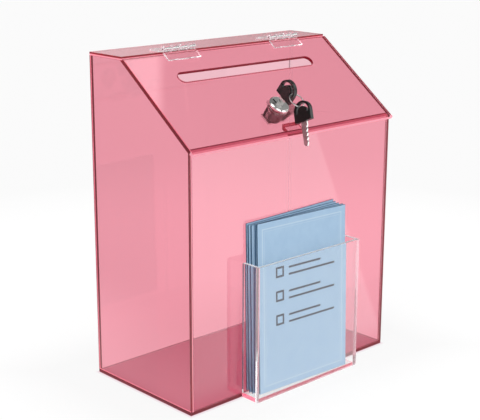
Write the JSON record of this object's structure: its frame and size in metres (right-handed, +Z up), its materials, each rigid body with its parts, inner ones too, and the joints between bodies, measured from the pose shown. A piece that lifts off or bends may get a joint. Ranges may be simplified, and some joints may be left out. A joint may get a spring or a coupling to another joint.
{
  "type": "ballot box",
  "caption": "Ballot box of tinted clear sheet: sloping hinged lid with a card slot and cam lock with two keys on a ring, and a clear front pocket holding cards",
  "frame": {"origin": "centre of the underside of the case", "axes": "X right along the width, the front with the pocket faces -Y, Z up"},
  "size_m": [0.25, 0.1541, 0.3051],
  "materials": {
    "tinted_sheet": "polished see-through pink sheet",
    "clear_sheet": "polished clear sheet",
    "nickel": "bright nickel plate",
    "steel": "plain steel",
    "black_plastic": "moulded black plastic with a soft sheen",
    "blue_card": "smooth light blue card"
  },
  "bodies": {
    "case": {"bottom_panel": "tinted_sheet", "left_side_panel": "tinted_sheet", "right_side_panel": "tinted_sheet", "front_panel": "tinted_sheet", "back_panel": "tinted_sheet", "top_strip": "tinted_sheet", "strike_block": "tinted_sheet", "pocket_front_wall": "clear_sheet", "pocket_left_wall": "clear_sheet", "pocket_right_wall": "clear_sheet", "pocket_base": "clear_sheet", "left_hinge_top_leaf": "clear_sheet", "right_hinge_top_leaf": "clear_sheet", "left_hinge_pin": "steel", "right_hinge_pin": "steel"},
    "lid": {"lid_panel": "tinted_sheet", "left_hinge_lid_leaf": "clear_sheet", "right_hinge_lid_leaf": "clear_sheet", "lock_body": "nickel", "lock_nut": "steel"},
    "lock_plug": {"lock_plug": "nickel", "cam": "steel", "cam_washer": "steel", "cam_screw": "steel"},
    "key": {"key_head": "black_plastic", "key_blade": "steel"},
    "key_ring": {"key_ring": "steel"},
    "spare_key": {"spare_key_head": "black_plastic", "spare_key_blade": "steel"},
    "ballot_cards": {"ballot_card_1": "blue_card", "ballot_card_2": "blue_card", "ballot_card_3": "blue_card", "ballot_card_4": "blue_card", "ballot_card_5": "blue_card"}
  },
  "joints": [
    {"name": "lid_hinge", "type": "hinge", "parent": "case", "child": "lid", "pos_m": [0, 0.02013, 0.3026], "axis": [-1, 0, 0], "range_deg": [0, 200]},
    {"name": "lock_turn", "type": "hinge", "parent": "lid", "child": "lock_plug", "pos_m": [0, -0.04274, 0.25165], "axis": [0, 0.6044, -0.7967], "range_deg": [0, 90]},
    {"name": "key_slide", "type": "slide", "parent": "lock_plug", "child": "key", "axis": [0, -0.6044, 0.7967], "range_m": [0, 0.03]},
    {"name": "ring_swing", "type": "hinge", "parent": "key", "child": "key_ring", "pos_m": [0, -0.0598, 0.26427], "axis": [-1, 0, 0], "range_deg": [0, 60]},
    {"name": "spare_swing", "type": "hinge", "parent": "key_ring", "child": "spare_key", "pos_m": [-0.00162, -0.07033, 0.25472], "axis": [-0.9744, 0.1667, 0.1511], "range_deg": [0, 60]},
    {"name": "card_slide", "type": "slide", "parent": "case", "child": "ballot_cards", "axis": [0, 0, 1], "range_m": [0, 0.06]}
  ]
}
